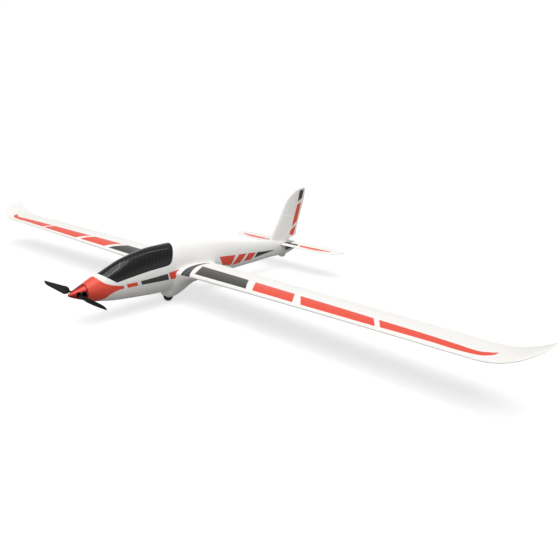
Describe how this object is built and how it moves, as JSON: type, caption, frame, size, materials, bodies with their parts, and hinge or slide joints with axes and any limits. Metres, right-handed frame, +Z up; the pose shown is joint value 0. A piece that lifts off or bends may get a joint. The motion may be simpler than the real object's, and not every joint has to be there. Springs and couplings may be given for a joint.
{
  "type": "rc glider",
  "caption": "Moulded-foam electric glider with a folding propeller, lift-off canopy, hinged flaps, ailerons, elevator and rudder worked by servo linkages, and a belly wheel.",
  "frame": {"origin": "under the middle of the overall length and span, at the lowest point of the belly wheel", "axes": "+X towards the left wing tip, +Y aft, +Z up; the spinner points to -Y"},
  "size_m": [2.1, 0.98, 0.288],
  "materials": {
    "foam_white": "moulded expanded foam, painted markings",
    "canopy_gloss": "glossy, carbon weave look",
    "spinner_red": "red anodised",
    "black_plastic": "moulded",
    "linkage_plastic": "moulded nylon",
    "tyre": "matt",
    "carbon_tube": "wound carbon",
    "steel": "plated wire and screws",
    "aluminium": "machined",
    "servo_case": "tinted case",
    "plywood": "birch plywood",
    "battery_wrap": "heat-shrink wrap",
    "strap_fabric": "woven hook and loop"
  },
  "bodies": {
    "airframe": {"fuselage_left": "foam_white", "fuselage_right": "foam_white", "firewall": "plywood", "motor_base": "aluminium", "equipment_tray": "plywood", "battery": "battery_wrap", "battery_strap": "strap_fabric", "speed_controller": "black_plastic", "receiver": "black_plastic", "elevator_servo": "servo_case", "rudder_servo": "servo_case", "wing_left": "foam_white", "wing_right": "foam_white", "wing_joiner_tube": "carbon_tube", "wing_screw_left": "steel", "wing_screw_right": "steel", "flap_servo_left": "servo_case", "flap_servo_right": "servo_case", "aileron_servo_left": "servo_case", "aileron_servo_right": "servo_case", "stabilizer": "foam_white", "tail_skid": "foam_white", "wheel_axle": "steel"},
    "canopy_hatch": {"canopy": "canopy_gloss", "canopy_magnet": "steel"},
    "propeller_unit": {"spinner": "spinner_red", "blade_hub": "aluminium", "blade_pin_left": "steel", "blade_pin_right": "steel", "propeller_nut": "steel", "motor_shaft": "steel", "motor_bell": "aluminium"},
    "left_blade": {"blade_left": "black_plastic"},
    "right_blade": {"blade_right": "black_plastic"},
    "belly_wheel": {"wheel_tyre": "tyre", "wheel_hub": "black_plastic"},
    "flap_left_surface": {"flap_left": "foam_white", "flap_left_horn": "linkage_plastic"},
    "flap_left_arm": {"flap_left_servo_arm": "linkage_plastic"},
    "flap_left_rod": {"flap_left_pushrod": "steel"},
    "flap_right_surface": {"flap_right": "foam_white", "flap_right_horn": "linkage_plastic"},
    "flap_right_arm": {"flap_right_servo_arm": "linkage_plastic"},
    "flap_right_rod": {"flap_right_pushrod": "steel"},
    "aileron_left_surface": {"aileron_left": "foam_white", "aileron_left_horn": "linkage_plastic"},
    "aileron_left_arm": {"aileron_left_servo_arm": "linkage_plastic"},
    "aileron_left_rod": {"aileron_left_pushrod": "steel"},
    "aileron_right_surface": {"aileron_right": "foam_white", "aileron_right_horn": "linkage_plastic"},
    "aileron_right_arm": {"aileron_right_servo_arm": "linkage_plastic"},
    "aileron_right_rod": {"aileron_right_pushrod": "steel"},
    "elevator_surface": {"elevator": "foam_white", "elevator_horn": "linkage_plastic"},
    "elevator_arm": {"elevator_servo_arm": "linkage_plastic"},
    "elevator_rod": {"elevator_pushrod": "steel"},
    "rudder_surface": {"rudder": "foam_white", "rudder_horn": "linkage_plastic"},
    "rudder_arm": {"rudder_servo_arm": "linkage_plastic"},
    "rudder_rod": {"rudder_pushrod": "steel"}
  },
  "joints": [
    {"name": "propeller_spin", "type": "hinge", "parent": "airframe", "child": "propeller_unit", "pos_m": [0, -0.49, 0.091], "axis": [0, 1, 0], "continuous": true},
    {"name": "blade_left_fold", "type": "hinge", "parent": "propeller_unit", "child": "left_blade", "pos_m": [0.016, -0.461, 0.09072], "axis": [0.0175, 0, 0.9998], "range_deg": [0, 70]},
    {"name": "blade_right_fold", "type": "hinge", "parent": "propeller_unit", "child": "right_blade", "pos_m": [-0.016, -0.461, 0.09128], "axis": [-0.0175, 0, -0.9998], "range_deg": [0, 70]},
    {"name": "wheel_roll", "type": "hinge", "parent": "airframe", "child": "belly_wheel", "pos_m": [0, -0.168, 0.017], "axis": [1, 0, 0], "continuous": true},
    {"name": "canopy_lift", "type": "slide", "parent": "airframe", "child": "canopy_hatch", "axis": [0, 0, 1], "range_m": [0, 0.12]},
    {"name": "flap_left_hinge", "type": "hinge", "parent": "airframe", "child": "flap_left_surface", "pos_m": [0.079, -0.05319, 0.09784], "axis": [0.9979, -0.0584, 0.0272], "range_deg": [-40, 5]},
    {"name": "flap_left_arm_turn", "type": "hinge", "parent": "airframe", "child": "flap_left_arm", "pos_m": [0.3, -0.11476, 0.10194], "axis": [0.9979, -0.0584, 0.0272], "range_deg": [-40, 5]},
    {"name": "flap_left_rod_turn", "type": "hinge", "parent": "flap_left_arm", "child": "flap_left_rod", "pos_m": [0.30038, -0.11478, 0.08794], "axis": [0.9979, -0.0584, 0.0272], "range_deg": [-5, 40]},
    {"name": "flap_right_hinge", "type": "hinge", "parent": "airframe", "child": "flap_right_surface", "pos_m": [-0.079, -0.05319, 0.09784], "axis": [0.9979, 0.0584, -0.0272], "range_deg": [-40, 5]},
    {"name": "flap_right_arm_turn", "type": "hinge", "parent": "airframe", "child": "flap_right_arm", "pos_m": [-0.3, -0.11476, 0.10194], "axis": [0.9979, 0.0584, -0.0272], "range_deg": [-40, 5]},
    {"name": "flap_right_rod_turn", "type": "hinge", "parent": "flap_right_arm", "child": "flap_right_rod", "pos_m": [-0.30038, -0.11478, 0.08794], "axis": [0.9979, 0.0584, -0.0272], "range_deg": [-5, 40]},
    {"name": "aileron_left_hinge", "type": "hinge", "parent": "airframe", "child": "aileron_left_surface", "pos_m": [0.403, -0.07217, 0.10666], "axis": [0.998, -0.0604, 0.0205], "range_deg": [-20, 25]},
    {"name": "aileron_left_arm_turn", "type": "hinge", "parent": "airframe", "child": "aileron_left_arm", "pos_m": [0.6, -0.12802, 0.10924], "axis": [0.998, -0.0604, 0.0205], "range_deg": [-20, 25]},
    {"name": "aileron_left_rod_turn", "type": "hinge", "parent": "aileron_left_arm", "child": "aileron_left_rod", "pos_m": [0.60029, -0.12804, 0.09525], "axis": [0.998, -0.0604, 0.0205], "range_deg": [-25, 20]},
    {"name": "aileron_right_hinge", "type": "hinge", "parent": "airframe", "child": "aileron_right_surface", "pos_m": [-0.403, -0.07217, 0.10666], "axis": [0.998, 0.0604, -0.0205], "range_deg": [-20, 25]},
    {"name": "aileron_right_arm_turn", "type": "hinge", "parent": "airframe", "child": "aileron_right_arm", "pos_m": [-0.6, -0.12802, 0.10924], "axis": [0.998, 0.0604, -0.0205], "range_deg": [-20, 25]},
    {"name": "aileron_right_rod_turn", "type": "hinge", "parent": "aileron_right_arm", "child": "aileron_right_rod", "pos_m": [-0.60029, -0.12804, 0.09525], "axis": [0.998, 0.0604, -0.0205], "range_deg": [-25, 20]},
    {"name": "elevator_hinge", "type": "hinge", "parent": "airframe", "child": "elevator_surface", "pos_m": [0, 0.398, 0.092], "axis": [1, 0, 0], "range_deg": [-25, 25]},
    {"name": "elevator_arm_turn", "type": "hinge", "parent": "airframe", "child": "elevator_arm", "pos_m": [0.01, -0.09, 0.087], "axis": [1, 0, 0], "range_deg": [-25, 25]},
    {"name": "elevator_rod_turn", "type": "hinge", "parent": "elevator_arm", "child": "elevator_rod", "pos_m": [0.01, -0.09, 0.073], "axis": [1, 0, 0], "range_deg": [-25, 25]},
    {"name": "rudder_hinge", "type": "hinge", "parent": "airframe", "child": "rudder_surface", "pos_m": [0, 0.397, 0.113], "axis": [0, 0.3371, 0.9415], "range_deg": [-30, 30]},
    {"name": "rudder_arm_turn", "type": "hinge", "parent": "airframe", "child": "rudder_arm", "pos_m": [0.006, -0.05, 0.105], "axis": [0, 0.3371, 0.9415], "range_deg": [-30, 30]},
    {"name": "rudder_rod_turn", "type": "hinge", "parent": "rudder_arm", "child": "rudder_rod", "pos_m": [-0.008, -0.05, 0.105], "axis": [0, 0.3371, 0.9415], "range_deg": [-30, 30]}
  ],
  "couplings": [
    {"joint": "flap_left_arm_turn", "follows": "flap_left_hinge", "ratio": 1},
    {"joint": "flap_left_rod_turn", "follows": "flap_left_hinge", "ratio": -1},
    {"joint": "flap_right_arm_turn", "follows": "flap_right_hinge", "ratio": 1},
    {"joint": "flap_right_rod_turn", "follows": "flap_right_hinge", "ratio": -1},
    {"joint": "aileron_left_arm_turn", "follows": "aileron_left_hinge", "ratio": 1},
    {"joint": "aileron_left_rod_turn", "follows": "aileron_left_hinge", "ratio": -1},
    {"joint": "aileron_right_arm_turn", "follows": "aileron_right_hinge", "ratio": 1},
    {"joint": "aileron_right_rod_turn", "follows": "aileron_right_hinge", "ratio": -1},
    {"joint": "elevator_arm_turn", "follows": "elevator_hinge", "ratio": 1},
    {"joint": "elevator_rod_turn", "follows": "elevator_hinge", "ratio": -1},
    {"joint": "rudder_arm_turn", "follows": "rudder_hinge", "ratio": 1},
    {"joint": "rudder_rod_turn", "follows": "rudder_hinge", "ratio": -1}
  ]
}
